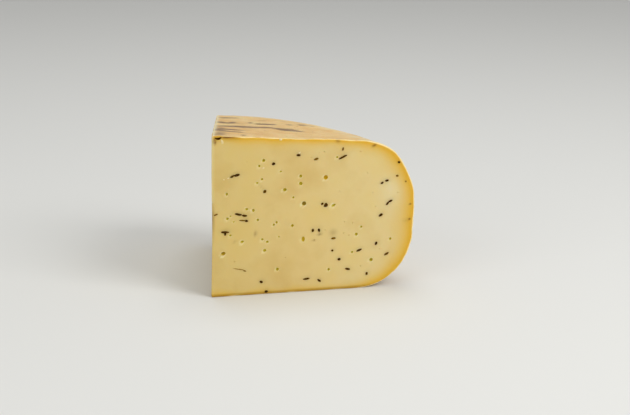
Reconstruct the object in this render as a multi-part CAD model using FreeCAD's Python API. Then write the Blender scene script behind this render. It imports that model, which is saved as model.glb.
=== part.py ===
"""A quarter wheel of gouda with cumin, cut out with two straight wire cuts that meet on the wheel's axis.

The wheel is turned about its own axis: a flat base, a foot arc, a bulging side, a shoulder arc and a
top that falls slightly from the axis outwards. The two cuts leave a soft edge where the rind starts,
and they open the small round eyes that the ripening left in the paste.

Millimetres, +Z up. The first cut faces -Y, and the origin is the middle of the box's bottom.
"""
import FreeCAD, Part
import math
import os
import random

from FreeCAD import Vector

# The whole wheel.
wheel_diameter = 250.0
wheel_height = 98.0  # at the axis, where it is tallest
crown_fall = 8.8  # the top's fall from the axis to the full diameter
sag = 1.5  # the widest line has sunk this far below half height
shoulder_radius = 36.0
foot_radius = 34.0
side_radius = 100.0

# The piece that is left.
cut_angle = 76.0
edge_radius = 0.8  # the softened edge round each cut

# The eyes: round holes that the cuts open.
eye_smallest = 1.5  # diameters
eye_largest = 3.0
eye_depth = 0.35  # how far an eye's middle lies behind the cut, as a share of its radius
eye_count = 26  # on the second cut
eye_clear = 9.0  # paste without eyes, inward from the rind and the axis
eye_spacing = 5.0  # least distance between two eyes

# Eyes on the first cut: share of the radius, share of the height, diameter.
first_cut_eyes = [
    (0.55, 0.71, 2.9), (0.45, 0.56, 2.9), (0.06, 0.27, 2.9), (0.45, 0.33, 2.7),
    (0.43, 0.73, 2.1), (0.43, 0.68, 2.4), (0.35, 0.65, 2.4), (0.59, 0.54, 2.3),
    (0.25, 0.83, 2.0), (0.23, 0.80, 1.6), (0.40, 0.60, 1.5), (0.07, 0.64, 1.6),
    (0.17, 0.54, 1.8), (0.20, 0.53, 1.8), (0.08, 0.49, 1.6), (0.22, 0.47, 1.7),
    (0.30, 0.44, 1.7), (0.39, 0.42, 2.0), (0.09, 0.38, 1.8), (0.15, 0.34, 2.0),
    (0.25, 0.35, 1.7), (0.27, 0.33, 1.7), (0.26, 0.28, 2.0), (0.32, 0.15, 2.0),
    (0.71, 0.35, 2.0), (0.74, 0.39, 1.5),
]

wheel_radius = wheel_diameter / 2
widest_height = wheel_height / 2 - sag


def arc_centre(start, along, outward, radius, side_centre):
    """Centre of an arc that touches a straight line and, from inside, the side's arc."""
    offset = start - outward * radius - side_centre
    reach = side_radius - radius
    run = offset.dot(along)
    step = -run + math.sqrt(run**2 - offset.dot(offset) + reach**2)
    return start - outward * radius + along * step


def arc_between(centre, radius, first, last):
    """An arc in the XZ plane about a centre, from one direction to another."""
    middle = (first + last).normalize()
    points = [centre + direction * radius for direction in (first, middle, last)]
    return Part.Arc(*points).toShape(), points[0], points[-1]


def wheel_profile():
    """Half of the wheel's section, from the axis out to the rind, in the XZ plane."""
    fall = math.atan2(crown_fall, wheel_radius)
    top_start = Vector(0, 0, wheel_height)
    top_along = Vector(math.cos(fall), 0, -math.sin(fall))
    top_outward = Vector(math.sin(fall), 0, math.cos(fall))
    base_start = Vector(0, 0, 0)
    base_outward = Vector(0, 0, -1)

    side_centre = Vector(wheel_radius - side_radius, 0, widest_height)
    shoulder = arc_centre(top_start, top_along, top_outward, shoulder_radius, side_centre)
    foot = arc_centre(base_start, Vector(1, 0, 0), base_outward, foot_radius, side_centre)
    to_shoulder = (shoulder - side_centre).normalize()
    to_foot = (foot - side_centre).normalize()

    foot_arc, base_end, _ = arc_between(foot, foot_radius, base_outward, to_foot)
    side_arc, _, _ = arc_between(side_centre, side_radius, to_foot, to_shoulder)
    shoulder_arc, _, top_end = arc_between(shoulder, shoulder_radius, to_shoulder, top_outward)
    edges = [
        Part.makeLine(base_start, base_end),
        foot_arc,
        side_arc,
        shoulder_arc,
        Part.makeLine(top_end, top_start),
        Part.makeLine(top_start, base_start),
    ]
    return Part.Face(Part.Wire(edges))


def cut_edges(solid):
    """The edges round both cuts, and the one on the axis where they meet."""
    second = Vector(-math.sin(math.radians(cut_angle)), math.cos(math.radians(cut_angle)), 0)
    found = []
    for edge in solid.Edges:
        if edge.Degenerated:  # the tip on the axis
            continue
        points = edge.discretize(5)
        on_first = all(abs(point.y) < 1e-4 for point in points)
        on_second = all(abs(point.dot(second)) < 1e-4 for point in points)
        if on_first or on_second:
            found.append(edge)
    return found


def rind_depth(distance, height):
    """Roughly how deep a place in the section lies behind the top, the side and the base."""
    top = wheel_height - crown_fall * distance / wheel_radius - height
    reach = math.sqrt(side_radius**2 - (height - widest_height) ** 2)
    side = wheel_radius - side_radius + reach - distance
    return min(top, side, height)


def second_cut_eyes():
    """Places and diameters for the second cut: a fixed scatter with most of the eyes small."""
    scatter = random.Random(11)
    eyes = []
    tries = 0
    while len(eyes) < eye_count and tries < 100 * eye_count:
        tries += 1
        distance = wheel_radius * scatter.random()
        height = wheel_height * scatter.random()
        inside = rind_depth(distance, height) > eye_clear and distance > eye_clear
        apart = all(math.hypot(distance - x, height - z) > eye_spacing for x, z, _ in eyes)
        if inside and apart:
            diameter = eye_smallest + (eye_largest - eye_smallest) * scatter.random() ** 2
            eyes.append((distance, height, diameter))
    return eyes


def eye(distance, height, diameter, angle, inward):
    """A ball whose middle lies just behind a cut at the given angle about the axis."""
    radius = diameter / 2
    along = Vector(math.cos(math.radians(angle)), math.sin(math.radians(angle)), 0)
    centre = along * distance + Vector(0, 0, height) + inward * (radius * eye_depth)
    return Part.makeSphere(radius, centre, inward)


wheel = wheel_profile().revolve(Vector(0, 0, 0), Vector(0, 0, 1), cut_angle)
cheese = wheel.makeFillet(edge_radius, cut_edges(wheel))

turn = math.radians(cut_angle)
eyes = [
    eye(wheel_radius * x, wheel_height * z, diameter, 0, Vector(0, 1, 0))
    for x, z, diameter in first_cut_eyes
]
eyes += [
    eye(distance, height, diameter, cut_angle, Vector(math.sin(turn), -math.cos(turn), 0))
    for distance, height, diameter in second_cut_eyes()
]
cheese = cheese.cut(Part.makeCompound(eyes))

box = cheese.optimalBoundingBox(False, False)
cheese.translate(Vector(-box.Center.x, -box.Center.y, -box.ZMin))

os.makedirs("parts", exist_ok=True)
cheese.Solids[0].exportStep("parts/cheese.step")
print("solids", len(cheese.Solids), "valid", cheese.isValid(), "volume", round(cheese.Volume))
print("axis at", round(-box.Center.x, 3), round(-box.Center.y, 3), "box", box)
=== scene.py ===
"""A hand-cut quarter of a gouda wheel with cumin seeds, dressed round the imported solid.

The solid's own frame is kept, in metres: the first cut faces -Y, and the wheel's axis is the upright
edge where the two cuts meet. The cheese's sizes are in millimetres, and MM turns them to metres.
"""

import math
import random

import bpy
import numpy as np
from mathutils import Matrix, Vector, noise


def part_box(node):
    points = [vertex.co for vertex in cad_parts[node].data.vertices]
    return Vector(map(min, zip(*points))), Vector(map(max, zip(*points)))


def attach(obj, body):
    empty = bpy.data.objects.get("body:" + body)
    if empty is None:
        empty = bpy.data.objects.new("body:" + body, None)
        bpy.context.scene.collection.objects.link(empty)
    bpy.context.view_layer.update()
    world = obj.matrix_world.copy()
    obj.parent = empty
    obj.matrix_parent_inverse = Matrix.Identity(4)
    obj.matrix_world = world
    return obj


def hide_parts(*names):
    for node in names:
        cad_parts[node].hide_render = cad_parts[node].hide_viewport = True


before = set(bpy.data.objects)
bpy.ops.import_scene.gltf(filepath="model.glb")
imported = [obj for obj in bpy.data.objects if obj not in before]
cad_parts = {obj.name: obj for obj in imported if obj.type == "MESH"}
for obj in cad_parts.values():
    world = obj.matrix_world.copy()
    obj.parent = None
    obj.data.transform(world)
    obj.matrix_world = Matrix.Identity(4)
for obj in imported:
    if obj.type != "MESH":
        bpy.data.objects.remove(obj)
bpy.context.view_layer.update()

# ---------------------------------------------------------------------------------------------------
# The cheese: one wedge of a pressed, brined and ripened wheel. It is made as the real one was: a round
# wheel with rolled rims, cut twice with a wire down to the axis, which then settled a little out of
# true. Gas left round eyes in the paste, and a board left grey streaks on the top.

MM = 0.001
low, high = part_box("cheese")
cut_angle = math.radians(76)
edge_softness = 0.8  # the rounding of every edge that the wire left
tip_inset = edge_softness / math.tan(cut_angle / 2) - edge_softness  # from the axis to its round edge
axis = Vector((low.x - tip_inset * MM, low.y, 0))
wheel_radius = (high.x - axis.x) / MM
wheel_height = high.z / MM
crown_fall = 8.8  # the top's fall from the axis to the rim
shoulder_radius = 31.5
foot_radius = 33
side_bulge = 1.4  # how far the side stands out at its widest height
widest_height = 46
straight_radius = wheel_radius - side_bulge
up = Vector((0, 0, 1))
first_cut = (Vector((1, 0, 0)), Vector((0, -1, 0)))  # along the cut from the axis, and out of the paste
second_cut = (
    Vector((math.cos(cut_angle), math.sin(cut_angle), 0)),
    Vector((-math.sin(cut_angle), math.cos(cut_angle), 0)),
)


def alone(piece):
    """Makes a piece the only selected one in object mode, ready for an operator."""
    if bpy.context.mode != "OBJECT":
        bpy.ops.object.mode_set(mode="OBJECT")
    bpy.ops.object.select_all(action="DESELECT")
    piece.select_set(True)
    bpy.context.view_layer.objects.active = piece


def pick(piece, kind, test):
    """Selects in edit mode the vertices, edges or faces whose middle passes a test."""
    alone(piece)
    bpy.ops.object.mode_set(mode="EDIT")
    bpy.ops.mesh.select_mode(type=kind)
    bpy.ops.mesh.select_all(action="DESELECT")
    bpy.ops.object.mode_set(mode="OBJECT")
    mesh = piece.data
    parts = {"VERT": mesh.vertices, "EDGE": mesh.edges, "FACE": mesh.polygons}[kind]
    for part in parts:
        corners = [part.index] if kind == "VERT" else part.vertices
        part.select = bool(test(sum((mesh.vertices[i].co for i in corners), Vector()) / len(corners)))
    bpy.ops.object.mode_set(mode="EDIT")


def modified(piece, kind, **settings):
    """Adds one modifier with its settings and applies it."""
    alone(piece)
    modifier = piece.modifiers.new(kind.title(), kind)
    for name, value in settings.items():
        setattr(modifier, name, value)
    bpy.ops.object.modifier_apply(modifier=modifier.name)


def joined(pieces, name):
    """Joins pieces into one of the given name."""
    alone(pieces[0])
    for piece in pieces:
        piece.select_set(True)
    bpy.ops.object.join()
    whole = bpy.context.object
    whole.name = name
    whole.data.name = name
    return whole


def rounded(first, second, radius):
    """The depth behind two faces whose common edge is rolled over with a radius."""
    corner = radius - np.hypot(radius - first, radius - second)
    return np.where((first < radius) & (second < radius), corner, np.minimum(first, second))


def rind_depth(out, height):
    """How deep a place in the wheel's section lies behind the rind."""
    behind_side = straight_radius - out
    below_top = wheel_height - crown_fall * out / wheel_radius - height
    shoulder = rounded(behind_side, below_top, shoulder_radius)
    return np.minimum(shoulder, rounded(behind_side, height, foot_radius))


def cut_depth(x, y):
    """How deep a place lies behind the nearer cut."""
    behind_second = -(x * second_cut[1].x + y * second_cut[1].y)
    return rounded(y, behind_second, edge_softness)


def points_of(piece):
    """A piece's vertices as rows of x, y, z from the foot of the wheel's axis."""
    rows = np.empty(len(piece.data.vertices) * 3)
    piece.data.vertices.foreach_get("co", rows)
    return (rows.reshape(-1, 3) - axis) / MM


def shape_to(piece, points):
    """Puts a piece's vertices at such rows."""
    piece.data.vertices.foreach_set("co", (points * MM + axis).ravel())
    piece.data.update()


def normals_of(piece):
    """The directions in which a piece's vertices face."""
    rows = np.empty(len(piece.data.vertices) * 3, np.float32)
    piece.data.vertex_normals.foreach_get("vector", rows)
    return rows.reshape(-1, 3)


# The whole wheel: a disc whose top rises to the axis, with its two rims rolled over.
rim_height = wheel_height - crown_fall
wheel_sides = 240
roll_segments = 16
bpy.ops.object.select_all(action="DESELECT")
bpy.ops.mesh.primitive_cylinder_add(
    vertices=wheel_sides,
    radius=straight_radius * MM,
    depth=rim_height * MM,
    end_fill_type="TRIFAN",
    location=(axis.x, axis.y, rim_height / 2 * MM),
)
cheese = bpy.context.object
cheese.name = "gouda_wedge"
cheese.data.name = "gouda_wedge"
bpy.ops.object.transform_apply(location=True, rotation=True, scale=True)


def from_axis(at):
    """A place's distance from the wheel's axis."""
    return math.hypot(at.x - axis.x, at.y - axis.y) / MM


pick(cheese, "VERT", lambda at: at.z > 0 and from_axis(at) < 1)
bpy.ops.transform.translate(value=(0, 0, crown_fall * MM))
crown_slope = math.atan2(crown_fall, wheel_radius)
rim_radius = straight_radius - 1  # farther out than this there are only the rims and the side
rolls = (  # the height of each rim, and how far from it its roll begins
    (rim_height, shoulder_radius * math.tan(math.pi / 4 - crown_slope / 2)),
    (0, foot_radius),
)
for rim_at, reach in rolls:
    pick(cheese, "EDGE", lambda at: abs(at.z / MM - rim_at) < 0.1 and from_axis(at) > rim_radius)
    bpy.ops.mesh.bevel(offset=reach * MM, segments=roll_segments, affect="EDGES", clamp_overlap=False)

# The two cuts, an even skin of small faces, and finer ones in a band along the edges of the cuts.
skin_cell = 1.15
band_behind_cut = 1.3
band_behind_rind = 2.6
for _, outward in (first_cut, second_cut):
    bpy.ops.mesh.select_all(action="SELECT")
    bpy.ops.mesh.bisect(plane_co=axis, plane_no=outward, clear_outer=True, use_fill=True)
bpy.ops.mesh.select_all(action="SELECT")
bpy.ops.mesh.normals_make_consistent(inside=False)
bpy.ops.object.mode_set(mode="OBJECT")
modified(cheese, "REMESH", mode="VOXEL", voxel_size=skin_cell * MM, adaptivity=0)
modified(cheese, "SMOOTH", factor=0.5, iterations=3)


def near_cut_edge(at):
    """Whether a place is in that band."""
    place = (at - axis) / MM
    in_band = cut_depth(place.x, place.y) < band_behind_cut
    return in_band and rind_depth(from_axis(at), place.z) < band_behind_rind


pick(cheese, "FACE", near_cut_edge)
bpy.ops.mesh.subdivide(number_cuts=2)
bpy.ops.object.mode_set(mode="OBJECT")
for _ in range(3):  # each step brings the skin closer to the true section and its soft edges
    points = points_of(cheese)
    x, y, z = points.T
    depth = rounded(rind_depth(np.hypot(x, y), z), cut_depth(x, y), edge_softness)
    shape_to(cheese, points + normals_of(cheese) * depth[:, None])


def hump(value, middle, reach):
    """1 at the middle, falling smoothly to nothing about two reaches away."""
    return np.exp(-(((value - middle) / reach) ** 2))


# How the piece settled. The side bulges and is pressed flat at two heights, the top's edge rises in two
# places along the first cut, the top sinks a little in between the cuts, and the tip is worn back.
bulge_reach = 25  # up and down from the widest height
bulge_from = 40  # the bulge grows from this distance from the axis
bulge_full = 100  # to this one
side_spread = 0.4  # how far the whole side has spread
side_flats = ((0.6, 69, 8), (0.35, 36, 8))  # each one's depth, height and reach
edge_rises = ((0.45, 74, 20), (0.8, 112, 8))  # each one's rise, distance from the axis and reach
rise_place = (0, 90)  # degrees about the axis, and height
rise_fades = (8, 14)  # in degrees and in height
rise_outwards = 0.3  # the share of a rise that also goes outwards
near_sink = (1.6, 18.5, 16.5)  # depth, and middle and reach in degrees about the axis; steep sides
far_sink = (0.9, 44, 14)  # the same, with soft sides
sink_height = 95
sink_fade = 30  # how far down from there the sinks fade
sink_full = 90  # the sinks grow from the axis to this distance
tip_wear = (0.5, 36, 22, 14)  # depth, height, and reach up and down and from the axis
foot_grip = 6  # up to this height the foot keeps its place on the shelf


def settled(x, y, z):
    """How far the piece has moved at a place: outwards from the axis, along x, and up."""
    out = np.hypot(x, y)
    turn = np.degrees(np.arctan2(y, x))
    bulge = side_bulge * np.clip(1 - ((z - widest_height) / bulge_reach) ** 2, 0, None) + side_spread
    bulge -= sum(depth * hump(z, middle, reach) for depth, middle, reach in side_flats)
    outwards = bulge * np.clip((out - bulge_from) / (bulge_full - bulge_from), 0, 1)
    raised = sum(rise * hump(out, middle, reach) for rise, middle, reach in edge_rises)
    lifted = raised * hump(z, rise_place[1], rise_fades[1]) * hump(turn, rise_place[0], rise_fades[0])
    depth, middle, reach = near_sink
    hollowed = depth * np.exp(-(((turn - middle) / reach) ** 4))
    depth, middle, reach = far_sink
    hollowed += depth * hump(turn, middle, reach)
    sunk = hollowed * hump(z, sink_height, sink_fade) * np.clip(out / sink_full, 0, 1)
    depth, middle, up_and_down, from_tip = tip_wear
    worn = depth * hump(z, middle, up_and_down) * hump(out, 0, from_tip)
    held = np.clip(z / foot_grip, 0, 1)
    return (outwards + rise_outwards * lifted) * held, worn, (lifted - sunk) * held


def relief(points, reach, pattern):
    """Soft noise over places, from -1 to 1, with lumps about a reach across, in a numbered pattern."""
    shift = Vector((pattern, 2 * pattern, 3 * pattern))
    return np.array([noise.noise(Vector(point) / reach + shift) for point in points])


# The piece settles, and its rind and cuts get the low relief of a thing made by hand: lumps of a given
# reach, so high on the cuts and so high on the rind, and then nicks along the edges of the cuts.
lumps = ((22, 0.10, 0.35), (5, 0.05, 0.10))
nicks = ((3.4, 0.30), (1.3, 0.12))
nicked_to = 2.6  # how far the nicks go from the edges
points = points_of(cheese)
x, y, z = points.T
out = np.maximum(np.hypot(x, y), 0.01)  # never nothing, to divide by
behind_rind = rind_depth(out, z)
behind_cut = cut_depth(x, y)
cut_nearer = behind_cut < behind_rind
near_edge = np.clip(1 - (behind_rind + behind_cut) / nicked_to, 0, 1)
lift = np.zeros(len(points))
for pattern, (reach, cut_height, rind_height) in enumerate(lumps, start=1):
    lift += relief(points, reach, pattern) * np.where(cut_nearer, cut_height, rind_height)
for pattern, (reach, nick_height) in enumerate(nicks, start=len(lumps) + 1):
    lift += relief(points, reach, pattern) * nick_height * near_edge
lift *= np.clip(z / foot_grip, 0, 1)
outwards, along, upwards = settled(x, y, z)
moved = points + normals_of(cheese) * lift[:, None]
moved[:, 0] += outwards * x / out + along
moved[:, 1] += outwards * y / out
moved[:, 2] += upwards
shape_to(cheese, moved)

# Eyes on the first cut: distance from the axis, height, width, stretch upwards, tilt in degrees, and
# the colour that the light in them takes, from 0 for olive over 0.5 for golden to 1 for brown.
first_cut_eyes = [
    (69.2, 70.0, 2.8, 1.0, 0, 0.5), (56.1, 54.7, 2.7, 0.95, 0, 1), (7.2, 26.7, 2.8, 0.8, 0, 0.75),
    (55.9, 32.8, 2.1, 1.6, 0, 0.3), (53.8, 71.5, 1.9, 1.0, 0, 0), (53.9, 67.0, 2.3, 0.95, 0, 0),
    (44.2, 63.7, 2.3, 0.9, 0, 0), (49.5, 58.7, 1.4, 1.0, 0, 0), (74.3, 52.7, 2.8, 0.55, 25, 0),
    (31.2, 81.9, 1.8, 1.1, 0, 0), (28.6, 78.7, 1.5, 1.0, 0, 0), (41.6, 74.9, 1.5, 0.7, 0, 0),
    (30.3, 70.7, 1.6, 0.8, 0, 0), (27.4, 68.6, 1.6, 0.7, 0, 0), (9.2, 62.7, 1.5, 1.2, 0, 0),
    (21.2, 53.0, 1.9, 0.8, 0, 0), (25.2, 52.1, 1.7, 1.1, 0, 0), (9.6, 47.8, 1.7, 0.9, 0, 0),
    (11.5, 49.2, 1.2, 0.8, 0, 0), (13.4, 45.7, 1.2, 0.7, 0, 0), (27.9, 46.1, 1.6, 0.9, 0, 0),
    (37.7, 42.7, 1.4, 1.1, 0, 0), (39.4, 44.0, 1.4, 1.2, 0, 0), (49.1, 41.5, 1.8, 1.0, 0, 0),
    (11.4, 37.6, 1.5, 0.8, 0, 0), (18.6, 33.3, 2.2, 0.7, 12, 0), (30.8, 34.1, 1.7, 0.8, 0, 0),
    (33.9, 32.4, 1.8, 0.8, 0, 0), (40.9, 35.1, 1.0, 1.1, 0, 0), (32.3, 27.2, 2.1, 0.9, 0, 0),
    (40.2, 15.1, 1.9, 1.1, 0, 0), (88.9, 34.0, 1.9, 1.0, 0, 0), (91.9, 38.5, 1.4, 1.0, 0, 0),
    (76.0, 82.0, 1.5, 0.8, 0, 0), (98.6, 17.5, 2.2, 1.0, 0, 0), (72.0, 13.0, 1.7, 1.0, 0, 0),
    (86.5, 23.0, 1.5, 0.9, 0, 0), (110.4, 30.0, 1.6, 1.0, 0, 0),
]
# Pinholes there: distance from the axis, height, width.
first_cut_pinholes = [
    (98.6, 59.2, 0.7), (114.4, 58.5, 1.0), (100.4, 50.5, 0.9), (86.4, 41.2, 0.8), (84.2, 33.7, 0.9),
    (81.1, 42.1, 0.8), (81.1, 35.1, 0.9), (69.3, 37.5, 0.8), (62.8, 31.8, 0.9), (60.2, 82.7, 0.8),
    (64.8, 85.3, 0.7), (67.9, 85.7, 0.8), (90.4, 84.8, 0.9), (21.1, 81.5, 0.7), (45.0, 22.0, 0.8),
    (78.0, 61.0, 0.7), (95.0, 71.5, 0.7), (14.0, 21.5, 0.8), (92.0, 14.0, 0.9), (104.0, 24.0, 0.8),
]
eye_count = 30  # on the second cut
eye_smallest = 1.4
eye_largest = 2.9
eye_clear = 9  # paste without eyes, in from the rind and the axis
eye_spacing = 5  # the least distance between two
pinhole_count = 22
pinhole_clear = 4
pinhole_spacing = 3.5
tip_clear = 8  # nothing is scattered nearer to the axis than this
eye_sunk = 0.35  # how far an eye's middle lies behind the cut, as a share of its half width
eye_mesh = (20, 14)  # sides and rings
pinhole_mesh = (8, 6)
split_mesh = (14, 10)
mouth_start = 0.1  # where an eye's flared mouth begins, out from its middle, as a share of its width
mouth_flare = 0.85


def scattered(count, clear, spacing, scatter, taken=()):
    """Places on the second cut, clear of the rind and the axis, of each other and of places taken."""
    places = []
    while len(places) < count:
        out = wheel_radius * scatter.random()
        height = wheel_height * scatter.random()
        apart = all(math.hypot(out - a, height - b) > spacing for a, b, *_ in [*places, *taken])
        if rind_depth(out, height) > clear and out > max(clear, tip_clear) and apart:
            places.append((out, height))
    return places


scatter = random.Random(11)
second_cut_eyes = [
    (
        out, height, eye_smallest + (eye_largest - eye_smallest) * scatter.random() ** 2,
        scatter.uniform(0.75, 1.2), scatter.uniform(-20, 20), scatter.choice((0, 0, 0, 0.5)),
    )
    for out, height in scattered(eye_count, eye_clear, eye_spacing, scatter)
]
second_cut_pinholes = [
    (out, height, scatter.uniform(0.6, 1.0))
    for out, height in scattered(
        pinhole_count, pinhole_clear, pinhole_spacing, scatter, second_cut_eyes
    )
]


def on_cut(cut, out, height, sunk=0, tilt=0, lean=0):
    """The frame of a place on a cut: x and y in its face and z out of it, tilted there, then leant."""
    along, outward = cut
    place = Matrix((up.cross(outward), up, outward)).transposed().to_4x4()
    place.translation = axis + (along * out - outward * sunk) * MM + up * height * MM
    sense = 1 if cut is first_cut else -1
    return place @ Matrix.Rotation(math.radians(tilt) * sense, 4, "Z") @ Matrix.Rotation(lean, 4, "Y")


# The eyes' shape: balls with a flared mouth, each its own size, taken out of both cut faces.
paste = bpy.data.materials.new("gouda paste and rind, wire cut")
eye_wall = bpy.data.materials.new("gouda eye wall, moist")
split = bpy.data.materials.new("gouda split, dried, with painted shade")


def hollow(place, size, fineness, wall, flared=False, droop=0):
    """A ball to take out of the paste, lined with a material. Its mouth may flare, its middle droop."""
    bpy.ops.object.select_all(action="DESELECT")
    sides, rings = fineness
    bpy.ops.mesh.primitive_uv_sphere_add(segments=sides, ring_count=rings, radius=0.5)
    ball = bpy.context.object
    for material in (paste, wall):
        ball.data.materials.append(material)
    for face in ball.data.polygons:
        face.material_index = 0 if flared and face.center.z > mouth_start else 1
    if flared:
        for vertex in ball.data.vertices:
            if vertex.co.z > mouth_start:
                widening = 1 + mouth_flare * (vertex.co.z - mouth_start)
                vertex.co.x *= widening
                vertex.co.y *= widening
    for vertex in ball.data.vertices:
        vertex.co.y += droop * vertex.co.x**2
    ball.data.transform(place @ Matrix.Diagonal((*(side * MM for side in size), 1)))
    return ball


balls = []
for cut, eyes in ((first_cut, first_cut_eyes), (second_cut, second_cut_eyes)):
    for out, height, width, stretch, tilt, _ in eyes:
        deep = width * min(1, stretch)
        place = on_cut(cut, out, height, eye_sunk * deep / 2, tilt)
        balls.append(hollow(place, (width, width * stretch, deep), eye_mesh, eye_wall, flared=True))
for cut, pinholes in ((first_cut, first_cut_pinholes), (second_cut, second_cut_pinholes)):
    for out, height, width in pinholes:
        balls.append(hollow(on_cut(cut, out, height), (width, width, width), pinhole_mesh, paste))

# The split under the rind at the top of the axis: a torn gap that droops in its middle, with a hairline
# running out of it. Distance from the axis, height, size, tilt in degrees, and droop.
splits = (
    (4.0, 95.9, (4.2, 1.4, 2.4), 4, 2.2),
    (8.8, 96.3, (4.8, 0.3, 0.6), -1, 0),
)
for out, height, size, tilt, droop in splits:
    place = on_cut(first_cut, out, height, tilt=tilt)
    balls.append(hollow(place, size, split_mesh, split, droop=droop))
hollows = joined(balls, "hollows")
cheese.data.materials.append(paste)
modified(
    cheese, "BOOLEAN",
    operation="DIFFERENCE", object=hollows, solver="EXACT", material_mode="TRANSFER",
)
bpy.data.objects.remove(hollows)

# Cumin seeds that the wire laid bare: distance from the axis, height, length and width of what shows,
# tilt in degrees, and how dark, from 0 for olive brown to 1 for nearly black.
first_cut_seeds = [
    (12.7, 73.3, 3.7, 1.3, 24, 0.8), (15.5, 73.9, 3.9, 1.6, 14, 1.0), (37.1, 79.6, 2.1, 1.8, 10, 1.0),
    (52.2, 84.2, 3.0, 1.5, -5, 0.9), (63.3, 81.4, 3.1, 1.5, 14, 0.5), (79.5, 86.9, 2.4, 1.1, 72, 0.6),
    (79.7, 82.0, 6.2, 1.3, 24, 0.8), (32.0, 63.2, 2.4, 2.0, 30, 0.7), (67.3, 53.9, 1.9, 1.5, 40, 0.8),
    (69.4, 52.9, 3.0, 2.3, 48, 0.9), (16.0, 50.1, 5.4, 1.3, -9, 1.0), (20.2, 49.1, 3.9, 1.4, -6, 0.9),
    (18.2, 46.3, 4.2, 0.8, -4, 0.5), (21.0, 45.9, 2.0, 1.5, -5, 1.0), (8.3, 39.7, 5.8, 1.4, -3, 0.9),
    (8.3, 38.7, 3.0, 1.4, 80, 1.0), (61.8, 38.0, 2.2, 1.5, 82, 0.9), (65.6, 37.8, 2.3, 1.5, -82, 1.0),
    (74.5, 32.2, 3.4, 1.3, 3, 0.5), (16.2, 16.6, 7.8, 0.55, -12, 0.2), (20.4, 15.2, 2.2, 0.8, -18, 0.5),
    (30.4, 7.8, 2.3, 1.7, -25, 1.0), (33.4, 1.6, 2.4, 1.5, 15, 1.0), (74.1, 24.7, 1.5, 1.4, 60, 0.8),
    (104.4, 65.0, 2.4, 1.4, 28, 1.0), (107.5, 66.3, 2.6, 1.4, 12, 1.0),
    (108.0, 52.0, 2.8, 1.3, 50, 0.9), (109.7, 53.4, 3.2, 1.4, 28, 1.0),
    (103.9, 45.1, 3.2, 1.7, 32, 1.0), (114.5, 77.2, 1.7, 1.5, 0, 1.0), (113.7, 68.9, 1.7, 1.4, 0, 0.45),
    (119.2, 65.2, 1.2, 1.1, 0, 0.2), (2.5, 50.5, 2.6, 0.9, 26, 0.5), (91.0, 24.0, 4.6, 1.4, 20, 0.9),
    (84.0, 12.5, 3.6, 1.5, -18, 0.8), (101.5, 27.5, 2.4, 1.6, 60, 1.0), (66.0, 6.5, 2.8, 1.4, -35, 0.9),
    (108.0, 20.5, 3.8, 1.3, 28, 0.7), (96.0, 9.0, 2.2, 1.5, 75, 0.9), (58.0, 8.0, 5.0, 1.3, 6, 0.8),
    (78.5, 19.0, 2.2, 1.7, 0, 1.0),
]
seed_count = 32  # on the second cut
seed_clear = 3
seed_spacing = 7
scatter = random.Random(23)
second_cut_seeds = [
    (
        out, height, scatter.choice((1.9, 2.3, 2.8, 3.4, 4.2, 5.4)), scatter.uniform(1.2, 1.8),
        scatter.gauss(8, 32), scatter.uniform(0.3, 1.0),
    )
    for out, height in scattered(seed_count, seed_clear, seed_spacing, scatter, second_cut_eyes)
]
# Seeds just under the face, which show through it as soft dark smudges, and two marks of painted shade:
# the long strip up the upright edge where it is worn back, and the thin line under the rind by the split.
# Distance from the axis, height, length, width, tilt in degrees and strength.
first_cut_veiled_and_shade = [
    (26.6, 37.8, 2.6, 1.4, 86, 0.6), (66.1, 35.3, 2.0, 1.2, 5, 0.8), (74.3, 35.8, 3.2, 3.4, 80, 0.4),
    (98.9, 88.2, 2.4, 1.3, 25, 0.9), (76.2, 91.8, 2.8, 1.8, -20, 0.6), (122.3, 41.6, 1.2, 1.0, 0, 1.2),
    (122.6, 51.0, 1.2, 0.8, 0, 1.0), (119.8, 41.0, 3.0, 2.2, 0, 0.2), (62.4, 31.8, 1.8, 1.3, 0, 0.4),
    (14.0, 33.5, 2.0, 1.2, 30, 0.3), (0.6, 47.5, 14.0, 1.6, 90, 0.7), (1.6, 95.0, 2.6, 3.0, 0, 0.8),
    (1.9, 93.3, 1.1, 1.0, 0, 1.3), (30.0, 66.4, 4.5, 0.5, -45, 0.6), (38.6, 95.2, 1.0, 0.9, 0, 1.0),
    (58.0, 93.8, 1.0, 0.8, 0, 0.7), (9.0, 96.6, 8.0, 0.6, -3, 0.9),
]

# Streaks on the top: distances along and across from the axis, length, width and strength.
board_marks = [
    (27, 79, 12, 4, 1.15), (18, 59, 5, 5.5, 1.3), (20.5, 53.5, 6, 5, 1.15), (25.5, 57, 4.5, 6.5, 1.2),
    (29, 51, 6, 4.5, 0.5), (36.5, 56.5, 3, 5.5, 1.0), (40.8, 52, 5, 4.5, 1.15),
    (45.5, 51.4, 6, 4.5, 1.15), (49.5, 50.6, 4, 3.5, 1.0), (15, 40.5, 14, 4.5, 1.1),
    (26.5, 39.5, 10, 6, 1.2), (34, 39.8, 8, 5, 1.0), (42.5, 39, 10, 5.5, 1.15),
    (50.5, 34.2, 7, 6.5, 1.15), (57, 34, 8, 7, 1.1), (62, 30.5, 5, 4.5, 0.7), (9, 24, 7, 6.5, 1.0),
    (18, 26, 12, 4, 1.1), (6.5, 8, 8, 14, 0.8), (17.5, 17.5, 12, 3.5, 1.1), (20.5, 6.5, 3, 3.5, 1.2),
    (59.5, 51, 4, 4.5, 0.9), (68, 52.5, 5, 5, 1.25), (74, 51.5, 5, 3.5, 0.65), (74, 6.5, 3, 2.5, 0.8),
    (46, 67, 10, 4, 0.5), (33, 92, 12, 5, 0.7), (22, 104, 9, 6, 0.6), (60, 66, 14, 4, 0.4),
    (84, 57, 4, 3, 0.6), (10.5, 33, 8, 5, 0.6), (12, 24, 20, 26, 0.25),
]
board_turn = math.radians(-19)  # the boards' grain, against the first cut
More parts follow.
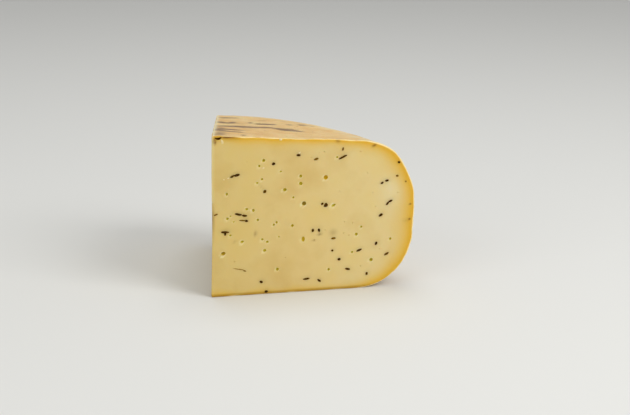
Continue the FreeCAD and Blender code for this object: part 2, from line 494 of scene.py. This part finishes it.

# What the materials read: how deep each place lies behind the rind and the cuts, the smears that the
# wire drew from the seeds and painted shade, the pale lips of the eyes and painted highlights, the
# board's streaks, a pale patch, and wear.
points = points_of(cheese)
x, y, z = points.T
outwards, along, upwards = settled(x, y, z)
true_out = np.hypot(x - along, y) - outwards
true_height = z - upwards
second_along = x * second_cut[0].x + y * second_cut[0].y
second_in = -(x * second_cut[1].x + y * second_cut[1].y)
behind_rind = rind_depth(true_out, true_height)
upper_part = z > 60
towards_side = np.clip((true_out - 88) / 22, 0, 1)
past_tip = np.clip((true_out - 5) / 9, 0, 1)
# The pale line is the cut edge of the rind, partly a painted highlight along that edge, and the amber
# band is the drying paste under it. Both are wider towards the wheel's side and wander a little.
line_width = 0.5 + 0.5 * towards_side + 0.4 * relief(points, 9, 5)
band_width = 9 + 11 * towards_side - 3 * hump(true_height, 0, 20) + 3 * relief(points, 12, 6)
# The skin is paler where the shoulder has been rubbed, in patches, and along the second cut.
rubbed_rim = 0.6 * hump(true_out, 98, 6.5) * (true_height > 60)
rubbed_rim = rubbed_rim * np.clip(0.6 + 1.5 * relief(points, 7, 7), 0, 1)
rubbed_edge = hump(second_in, 0, 1.5) * (true_height > 80)
shown = {
    "rind_depth": behind_rind,
    "cut_depth": np.clip(cut_depth(x, y), 0, None),
    "rim_line_and_highlight": np.clip((line_width - behind_rind) / 0.4, 0, 1) * past_tip,
    "drying": np.clip(behind_rind / band_width, 0, 1),
    "smear_and_shade": np.zeros(len(points)),
    "lip_and_highlight": np.zeros(len(points)),
    "eye_hue": np.zeros(len(points)),
    "board": np.zeros(len(points)),
    "worn": np.maximum(rubbed_edge, rubbed_rim),
    "pale_patch": hump(x, 112, 7) * hump(z, 60, 10) * (y < 3),  # one pale place on the first cut
    "boarded": np.clip((true_height - 78 + 4 * relief(points, 5, 8)) / 4, 0, 1),  # where it lay on boards
}


def patch(run, height, at_run, at_height, length, width, tilt):
    """A soft oval on a face, 1 in its middle, with its long axis tilted in degrees."""
    turn = math.radians(tilt)
    ahead = (run - at_run) * math.cos(turn) + (height - at_height) * math.sin(turn)
    aside = (height - at_height) * math.cos(turn) - (run - at_run) * math.sin(turn)
    return hump(ahead, 0, 0.6 * length) * hump(aside, 0, 0.6 * width)


smear_strength = 0.16
smear_margin = (1.6, 1.4)  # how much longer and wider than its seed a smear is
lip_highlight_strength = 0.52  # for each millimetre of an eye's width
shine_through = 2  # how deep behind a cut its smears and lips reach
faces = (  # how far along and behind each cut a place lies, and what is on the cut
    (x, y, first_cut_seeds, first_cut_eyes, first_cut_veiled_and_shade),
    (second_along, second_in, second_cut_seeds, second_cut_eyes, ()),
)
for run, depth, seeds, eyes, veiled_and_shade in faces:
    shallow = hump(depth, 0, shine_through)
    for out, height, length, width, tilt, darkness in seeds:
        size = (length + smear_margin[0], width + smear_margin[1])
        smear_and_shade = patch(run, z, out + 0.3, height + 0.4, *size, tilt)
        shown["smear_and_shade"] += smear_strength * darkness * smear_and_shade * shallow
    for out, height, length, width, tilt, strength in veiled_and_shade:
        shown["smear_and_shade"] += strength * patch(run, z, out, height, length, width, tilt) * shallow
    # Each eye's pale lip is set off towards its lower side, which faces the light: partly a painted
    # highlight.
    for out, height, width, _, _, hue in eyes:  # a lip lies a little below and towards the axis
        ring = hump(np.hypot(run - out + 0.2 * width, z - height + 0.25 * width), 0.5 * width, 0.4)
        shown["lip_and_highlight"] += lip_highlight_strength * width * ring * shallow
        shown["eye_hue"] += hue * (np.hypot(run - out, z - height) < 1.5 * width) * (depth < 4)
# The upright edge has a pale line up its top half, a painted highlight on its rounded edge. Along the
# foot lies a band of painted shade where the piece meets the floor, and under the rind's edge by the
# split lies a painted shadow.
shown["lip_and_highlight"] += 0.9 * hump(x, 0.4, 0.8) * (z > 57) * (y < 1)
shown["smear_and_shade"] += 0.5 * hump(z, 0.8, 1.2) * (behind_rind < 2)
shown["smear_and_shade"] += 0.4 * hump(x, 11, 7) * hump(behind_rind, 0.8, 1.6) * (y < 2) * upper_part
for mark_x, mark_y, length, width, strength in board_marks:
    mark = patch(x, y, mark_x, mark_y, length, width, math.degrees(board_turn))
    shown["board"] += strength * mark * upper_part
for name, values in shown.items():
    layer = cheese.data.attributes.new(name, "FLOAT", "POINT")
    layer.data.foreach_set("value", values.astype(np.float32))
alone(cheese)
bpy.ops.object.shade_smooth_by_angle(angle=math.radians(35))


def linear(code):
    """An sRGB hex colour as linear values with full alpha."""
    values = [int(code[i:i + 2], 16) / 255 for i in (0, 2, 4)]
    return [v / 12.92 if v <= 0.04045 else ((v + 0.055) / 1.055) ** 2.4 for v in values] + [1]


def node(tree, kind, settings=(), inputs=(), stops=(), output=None):
    """Adds a node with its settings, its inputs as values, hex colours or links, and its ramp's stops.

    It gives the named output for others to link to, or else the first one in use.
    """
    added = tree.nodes.new(kind)
    for name, value in dict(settings).items():
        setattr(added, name, value)
    for key, value in dict(inputs).items():
        if isinstance(value, bpy.types.NodeSocket):
            tree.links.new(value, added.inputs[key])
        else:
            added.inputs[key].default_value = linear(value) if isinstance(value, str) else value
    for number, (place, colour) in enumerate(stops):
        elements = added.color_ramp.elements
        element = elements[number] if number < len(elements) else elements.new(place)
        element.position = place
        element.color = linear(colour) if isinstance(colour, str) else (colour, colour, colour, 1)
    return added.outputs[output] if output else next(end for end in added.outputs if end.enabled)


# Young gouda paste, cut with a wire: straw yellow and close, with a soft moist sheen, drying to amber
# under the rind. The rind is the same paste dried to a matt tan skin, with a pale line where it is cut
# that is partly a painted highlight.
paste.use_nodes = True
tree = paste.node_tree
surface = tree.nodes["Principled BSDF"]
where = node(tree, "ShaderNodeTexCoord", output="Object")
read = {}
for name in shown:
    read[name] = node(tree, "ShaderNodeAttribute", {"attribute_name": name}, output="Fac")
mixed = {"data_type": "RGBA"}
tinted = {"data_type": "RGBA", "blend_type": "MULTIPLY"}
added_up = {"operation": "ADD"}
multiplied = {"operation": "MULTIPLY"}

# The paste is a little paler away from the axis, a painted gradient of light that is stronger on that
# side, with clouds of about 30 mm and a pale patch near the side.
across = node(tree, "ShaderNodeSeparateXYZ", inputs={"Vector": where}, output="X")
to_side = node(
    tree, "ShaderNodeMapRange", inputs={"Value": across, "From Min": axis.x, "From Max": high.x}
)
paste_and_painted_light = node(
    tree, "ShaderNodeValToRGB", inputs={"Fac": to_side},
    stops=[(0.0, "d5bb74"), (0.45, "dbc17f"), (0.8, "ddc688"), (1.0, "dbc287")],
)
clouds = node(tree, "ShaderNodeTexNoise", inputs={"Vector": where, "Scale": 1 / (30 * MM), "Detail": 4})
clouded = node(
    tree, "ShaderNodeValToRGB", inputs={"Fac": clouds},
    stops=[(0.3, "f6f0e2"), (0.5, "ffffff"), (0.7, "fffdf0")],
)
tone = node(tree, "ShaderNodeMix", tinted, {"Factor": 1.0, "A": paste_and_painted_light, "B": clouded})
pale_patched = node(tree, "ShaderNodeMath", multiplied, {0: read["pale_patch"], 1: 0.75})
tone = node(tree, "ShaderNodeMix", mixed, {"Factor": pale_patched, "A": tone, "B": "e0d3a6"})

# The amber band under the rind, and how it passes into the paste.
amber = node(
    tree, "ShaderNodeValToRGB", inputs={"Fac": read["drying"]},
    stops=[(0.0, "d4a322"), (0.25, "dbae2a"), (0.7, "d9b44a")],
)
moist = node(
    tree, "ShaderNodeValToRGB", inputs={"Fac": read["drying"]},
    stops=[(0.0, 0.0), (0.12, 0.05), (0.28, 0.36), (0.5, 0.72), (0.8, 0.95), (1.0, 1.0)],
)
tone = node(tree, "ShaderNodeMix", mixed, {"Factor": moist, "A": amber, "B": tone})

# On it lie the smears of the seeds and painted shade, the pale lips of the eyes and painted highlights,
# and the pale cut edge of the rind, partly a painted highlight.
tone = node(tree, "ShaderNodeMix", tinted, {"Factor": read["smear_and_shade"], "A": tone, "B": "9e8961"})
lips_and_highlight = node(tree, "ShaderNodeMath", {**multiplied, "use_clamp": True}, {0: read["lip_and_highlight"], 1: 0.6})
for amount, colour in ((lips_and_highlight, "eadba4"), (read["rim_line_and_highlight"], "f3dda0")):
    tone = node(tree, "ShaderNodeMix", mixed, {"Factor": amount, "A": tone, "B": colour})

# The rind: blotches of about 15 mm, small pits about 7 mm apart, and fine scuffs of 9 by 1 mm with
# rubbed flecks, which lie along the boards on the top and round the wheel on its side.
along_boards = node(
    tree, "ShaderNodeMapping",
    inputs={
        "Vector": where, "Rotation": (0, 0, -board_turn), "Scale": (1 / (9 * MM), 1 / MM, 1 / (3 * MM)),
    },
)
round_wheel = node(
    tree, "ShaderNodeMapping",
    inputs={"Vector": where, "Scale": (1 / (10 * MM), 1 / (10 * MM), 1 / (1.2 * MM))},
)
scuffs = []
for scale, detail in ((1.0, 4.0), (2.2, 2.0)):
    on_side, on_top = (
        node(
            tree, "ShaderNodeTexNoise",
            inputs={"Vector": lie, "Scale": scale, "Detail": detail, "Roughness": 0.6},
        )
        for lie in (round_wheel, along_boards)
    )
    either = {"Factor": read["boarded"], "A": on_side, "B": on_top}
    scuffs.append(node(tree, "ShaderNodeMix", inputs=either))
grain, flecks = scuffs
blotches = node(
    tree, "ShaderNodeTexNoise", inputs={"Vector": where, "Scale": 1 / (15 * MM), "Detail": 4}
)
pits = node(tree, "ShaderNodeTexVoronoi", inputs={"Vector": where, "Scale": 1 / (7 * MM)})
skin = node(
    tree, "ShaderNodeValToRGB", inputs={"Fac": blotches},
    stops=[(0.3, "d6ab6a"), (0.45, "dcb678"), (0.6, "e1c185"), (0.75, "dcc684")],
)
lined = node(
    tree, "ShaderNodeMapRange",
    inputs={"Value": grain, "From Min": 0.45, "From Max": 0.65, "To Max": 0.42},
)
rubbed = node(
    tree, "ShaderNodeMapRange",
    inputs={"Value": flecks, "From Min": 0.58, "From Max": 0.7, "To Max": 0.7},
)
pitted = node(
    tree, "ShaderNodeMapRange",
    inputs={"Value": pits, "From Min": 0.05, "From Max": 0.11, "To Min": 0.55, "To Max": 0.0},
)

# The board's grey streaks, broken up along its grain, and over them the pale worn edges.
ragged = node(
    tree, "ShaderNodeTexNoise",
    inputs={"Vector": along_boards, "Scale": 1.7, "Detail": 3.0, "Roughness": 0.65},
)
broken = node(
    tree, "ShaderNodeMapRange",
    inputs={"Value": ragged, "From Min": 0.3, "From Max": 0.7, "To Min": -0.5, "To Max": 0.45},
)
marked = node(tree, "ShaderNodeMath", added_up, {0: read["board"], 1: broken})
streaked = node(tree, "ShaderNodeMapRange", inputs={"Value": marked, "From Min": 0.2})
coats = (
    (lined, "c39a68"), (rubbed, "e6cf9e"), (pitted, "9a7040"), (streaked, "836a50"),
    (read["worn"], "e0d8b4"),
)
for amount, colour in coats:
    skin = node(tree, "ShaderNodeMix", mixed, {"Factor": amount, "A": skin, "B": colour})

# The rind begins behind the cut's soft edge, and is as deep as its skin.
past_edge = node(
    tree, "ShaderNodeMapRange",
    inputs={"Value": read["cut_depth"], "From Min": 0.35, "From Max": 0.7},
)
in_skin = node(
    tree, "ShaderNodeMapRange",
    inputs={"Value": read["rind_depth"], "From Min": 1, "From Max": 2, "To Min": 1, "To Max": 0},
)
is_rind = node(tree, "ShaderNodeMath", multiplied, {0: past_edge, 1: in_skin})
tone = node(tree, "ShaderNodeMix", mixed, {"Factor": is_rind, "A": tone, "B": skin})
tree.links.new(tone, surface.inputs["Base Color"])
dry = node(tree, "ShaderNodeMapRange", inputs={"Value": is_rind, "To Min": 0.46, "To Max": 0.62})
tree.links.new(dry, surface.inputs["Roughness"])
surface.inputs["IOR"].default_value = 1.45
surface.inputs["Specular IOR Level"].default_value = 0.35
surface.inputs["Subsurface Weight"].default_value = 0.25
surface.inputs["Subsurface Radius"].default_value = (6 * MM, 3.5 * MM, 1.4 * MM)
surface.inputs["Subsurface Scale"].default_value = 1.0
surface.subsurface_method = "RANDOM_WALK"

# Its bump: the fine tooth that the wire leaves in the paste, and the scuffs in the rind.
tooth = node(tree, "ShaderNodeTexNoise", inputs={"Vector": where, "Scale": 1 / (1.2 * MM), "Detail": 3})
raised = node(tree, "ShaderNodeMix", inputs={"Factor": is_rind, "A": tooth, "B": grain})
bump = node(tree, "ShaderNodeBump", inputs={"Height": raised, "Strength": 0.4, "Distance": 0.15 * MM})
tree.links.new(bump, surface.inputs["Normal"])

# Eye walls: the same paste left smooth and moist by the gas. Light that wanders in the paste comes out
# of them deeper in colour, golden in some and olive in others.
eye_wall.use_nodes = True
tree = eye_wall.node_tree
surface = tree.nodes["Principled BSDF"]
hue = node(tree, "ShaderNodeAttribute", {"attribute_name": "eye_hue"}, output="Fac")
glow = node(
    tree, "ShaderNodeValToRGB", inputs={"Fac": hue},
    stops=[(0.0, "cfbd33"), (0.5, "dcbb1c"), (1.0, "b0952c")],
)
tree.links.new(glow, surface.inputs["Base Color"])
surface.inputs["Roughness"].default_value = 0.35
surface.inputs["Specular IOR Level"].default_value = 0.3

# The split: paste dried to a brown leathery skin in the gap, painted darker for the shade deep in it,
# matt and patchy.
split.use_nodes = True
tree = split.node_tree
surface = tree.nodes["Principled BSDF"]
where = node(tree, "ShaderNodeTexCoord", output="Object")
patches = node(
    tree, "ShaderNodeTexNoise", inputs={"Vector": where, "Scale": 1 / (1.5 * MM), "Detail": 3}
)
dried_and_shaded = node(
    tree, "ShaderNodeValToRGB", inputs={"Fac": patches},
    stops=[(0.35, "4e2a02"), (0.65, "6e440c")],
)
tree.links.new(dried_and_shaded, surface.inputs["Base Color"])
surface.inputs["Roughness"].default_value = 0.8
surface.inputs["Specular IOR Level"].default_value = 0.1

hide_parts("cheese")
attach(cheese, "root")

# ---------------------------------------------------------------------------------------------------
# Cumin seeds: dried brown fruits with fine ribs, stirred into the curd before it was pressed. The wire
# sliced them with the paste, so each ends in a flat face that stands just proud of the cut.

seed_sides = 14  # every other one is a furrow between two ribs
furrow = 0.92  # how far in the furrows lie, as a share
seed_proud = 0.18
seed_proud_share = 0.2  # the most that a thin seed stands proud, as a share of its width
seed_unevenness = 0.26
steepest = 0.4  # the cosine of the lean past which a seed gets no longer
bpy.ops.object.select_all(action="DESELECT")
bpy.ops.mesh.primitive_uv_sphere_add(
    segments=seed_sides, ring_count=10, radius=0.5, rotation=(0, math.pi / 2, 0)
)
whole_seed = bpy.context.object
bpy.ops.object.transform_apply(location=True, rotation=True, scale=True)
pick(whole_seed, "VERT", lambda at: round(math.atan2(at.z, at.y) / math.tau * seed_sides) % 2 == 0)
bpy.ops.transform.resize(value=(1, furrow, furrow))
for end in (0.40, 0.47):  # both ends taper in two steps
    pick(whole_seed, "VERT", lambda at: abs(at.x) > end)
    bpy.ops.transform.resize(value=(1, 0.8, 0.8))
bpy.ops.object.mode_set(mode="OBJECT")

# Each copy is made uneven, leans into the paste more the rounder its slice is, and is then sliced. The
# whole seed is longer than what shows of it.
uneven = random.Random(41)
sliced = []
for cut, seeds in ((first_cut, first_cut_seeds), (second_cut, second_cut_seeds)):
    for out, height, length, width, tilt, darkness in seeds:
        seed = whole_seed.copy()
        seed.data = whole_seed.data.copy()
        bpy.context.scene.collection.objects.link(seed)
        for vertex in seed.data.vertices:
            lump = noise.noise(vertex.co * 2.2 + Vector((out, height, 0)))
            vertex.co *= 1 + seed_unevenness * lump
        lean = math.asin(min(1, width / length)) * uneven.choice((-1, 1))
        whole_length = (1.45 * length - 0.33 * width) / max(math.cos(lean), steepest)
        place = on_cut(cut, out, height, tilt=tilt, lean=lean)
        seed.data.transform(place @ Matrix.Diagonal((whole_length * MM, width * MM, width * MM, 1)))
        layer = seed.data.attributes.new("dark", "FLOAT", "POINT")
        layer.data.foreach_set("value", [darkness] * len(seed.data.vertices))
        alone(seed)
        bpy.ops.object.mode_set(mode="EDIT")
        bpy.ops.mesh.select_all(action="SELECT")
        outward = cut[1]
        slice_at = axis + outward * min(seed_proud, seed_proud_share * width) * MM
        bpy.ops.mesh.bisect(plane_co=slice_at, plane_no=outward, clear_outer=True, use_fill=True)
        bpy.ops.mesh.delete_loose()
        bpy.ops.mesh.select_all(action="SELECT")
        bpy.ops.mesh.normals_make_consistent(inside=False)
        bpy.ops.object.mode_set(mode="OBJECT")
        sliced.append(seed)
bpy.data.objects.remove(whole_seed)
cumin = joined(sliced, "cumin_seeds")
bpy.ops.object.shade_smooth_by_angle(angle=math.radians(50))

# Dried cumin husk, sliced: nearly black where it is whole, olive brown where the wire opened it.
husk = bpy.data.materials.new("cumin husk, dried and sliced")
husk.use_nodes = True
tree = husk.node_tree
surface = tree.nodes["Principled BSDF"]
where = node(tree, "ShaderNodeTexCoord", output="Object")
dark = node(tree, "ShaderNodeAttribute", {"attribute_name": "dark"}, output="Fac")
fibres = node(
    tree, "ShaderNodeTexNoise", inputs={"Vector": where, "Scale": 1 / (0.8 * MM), "Detail": 3}
)
mottling = node(
    tree, "ShaderNodeMapRange",
    inputs={"Value": fibres, "From Min": 0.3, "From Max": 0.7, "To Min": -0.25, "To Max": 0.25},
)
mottled = node(tree, "ShaderNodeMath", added_up, {0: dark, 1: mottling})
brown = node(
    tree, "ShaderNodeValToRGB", inputs={"Fac": mottled},
    stops=[(0.1, "a88438"), (0.45, "7c5810"), (0.75, "543704"), (1.0, "3e2602")],
)
tree.links.new(brown, surface.inputs["Base Color"])
surface.inputs["Roughness"].default_value = 0.8
surface.inputs["Specular IOR Level"].default_value = 0.08
cumin.data.materials.clear()
cumin.data.materials.append(husk)
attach(cumin, "root")

# ---------------------------------------------------------------------------------------------------
# Curd crumbs: pale specks of torn curd that the wire dragged up and left on the cut faces, and one
# curled flake below the split.

crumb_thickness = 0.36
crumb_unevenness = 0.35
first_cut_crumbs = [  # distance from the axis, height, length, width and tilt in degrees
    (6.3, 94.2, 1.4, 2.7, 14), (9.9, 72.2, 1.5, 0.9, 20), (7.4, 71.4, 1.3, 0.8, -8),
    (23.6, 52.2, 1.6, 1.2, 20), (41.4, 94.1, 1.8, 1.3, -15), (31.0, 77.4, 1.4, 1.2, 0),
    (52.9, 85.6, 1.8, 0.9, 35),
]
crumb_count = 9  # on the second cut
crumb_clear = 4
crumb_spacing = 8
scatter = random.Random(7)
second_cut_crumbs = [
    (out, height, scatter.uniform(0.9, 2.2), scatter.uniform(0.7, 1.2), scatter.uniform(-30, 30))
    for out, height in scattered(crumb_count, crumb_clear, crumb_spacing, scatter)
]
crumbs = []
for cut, specks in ((first_cut, first_cut_crumbs), (second_cut, second_cut_crumbs)):
    for out, height, length, width, tilt in specks:
        bpy.ops.object.select_all(action="DESELECT")
        bpy.ops.mesh.primitive_ico_sphere_add(subdivisions=3, radius=0.5)
        crumb = bpy.context.object
        for vertex in crumb.data.vertices:
            lump = noise.noise(vertex.co * 3 + Vector((out, height, 0)))
            vertex.co *= 1 + crumb_unevenness * lump
        place = on_cut(cut, out, height, tilt=tilt)
        size = (length * MM, width * MM, crumb_thickness * MM, 1)
        crumb.data.transform(place @ Matrix.Diagonal(size))
        crumbs.append(crumb)
crumbs = joined(crumbs, "curd_crumbs")
bpy.ops.object.shade_smooth_by_angle(angle=math.radians(50))

# Torn curd: paler than the cut paste, and matt, because its surface is rough.
curd = bpy.data.materials.new("gouda curd, torn")
curd.use_nodes = True
tree = curd.node_tree
surface = tree.nodes["Principled BSDF"]
where = node(tree, "ShaderNodeTexCoord", output="Object")
tufts = node(tree, "ShaderNodeTexNoise", inputs={"Vector": where, "Scale": 1 / MM, "Detail": 3})
pale = node(
    tree, "ShaderNodeValToRGB", inputs={"Fac": tufts},
    stops=[(0.3, "dcc486"), (0.7, "e9d6a2")],
)
tree.links.new(pale, surface.inputs["Base Color"])
surface.inputs["Roughness"].default_value = 0.7
crumbs.data.materials.clear()
crumbs.data.materials.append(curd)
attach(crumbs, "root")

# ---------------------------------------------------------------------------------------------------
# The floor: a wide sheet of matt paper card under the cheese. It isn't part of the object, and gives it
# a soft, even shadow without gloss.

bpy.ops.object.select_all(action="DESELECT")
bpy.ops.mesh.primitive_plane_add(size=6, location=(0, 0, 0))
floor = bpy.context.object
floor.name = "floor"
card = bpy.data.materials.new("paper card, matt")
card.use_nodes = True
surface = card.node_tree.nodes["Principled BSDF"]
surface.inputs["Base Color"].default_value = linear("dfdfdb")
surface.inputs["Roughness"].default_value = 0.8
floor.data.materials.append(card)

# ---------------------------------------------------------------------------------------------------
# Light and camera: a large soft box high at the right, a weaker one at the left and one overhead, and
# a long lens that looks a little down on the first cut. Their places and sizes are in metres.


def softbox(name, place, size, power):
    """A square area lamp that faces the middle of the cheese."""
    lamp = bpy.data.lights.new(name, "AREA")
    lamp.size = size
    lamp.energy = power
    holder = bpy.data.objects.new(name, lamp)
    bpy.context.scene.collection.objects.link(holder)
    holder.location = place
    aim = Vector((0, 0, high.z / 2)) - Vector(place)
    holder.rotation_euler = aim.to_track_quat("-Z", "Y").to_euler()


softbox("key", (0.75, -0.95, 0.95), 0.8, 12)
softbox("fill", (-1.1, -0.8, 0.7), 0.9, 4)
softbox("top", (0.1, 0.3, 1.3), 0.8, 5)

world = bpy.data.worlds.new("studio")
bpy.context.scene.world = world
world.use_nodes = True
world.node_tree.nodes["Background"].inputs["Color"].default_value = (0.92, 0.92, 0.92, 1)
world.node_tree.nodes["Background"].inputs["Strength"].default_value = 0.45
bpy.context.scene.view_settings.view_transform = "Standard"

look_yaw = math.radians(15.6)
look_down = math.radians(14.35)
look_roll = math.radians(0.97)
corner_distance = 1.0066  # from the foot of the axis, along, left of and below the line of sight
corner_left = 0.06146
corner_below = 0.05341

forward = Vector((
    math.sin(look_yaw) * math.cos(look_down),
    math.cos(look_yaw) * math.cos(look_down),
    -math.sin(look_down),
))
level_right = Vector((math.cos(look_yaw), -math.sin(look_yaw), 0))
level_up = level_right.cross(forward)
right = level_right * math.cos(look_roll) + level_up * math.sin(look_roll)
above = level_up * math.cos(look_roll) - level_right * math.sin(look_roll)
camera = bpy.data.objects.new("camera", bpy.data.cameras.new("camera"))
bpy.context.scene.collection.objects.link(camera)
camera.matrix_world = Matrix((right, above, -forward)).transposed().to_4x4()
camera.location = axis - forward * corner_distance + right * corner_left + above * corner_below
camera.data.sensor_width = 36
camera.data.lens = 97.1
camera.data.clip_end = 20
bpy.context.scene.camera = camera
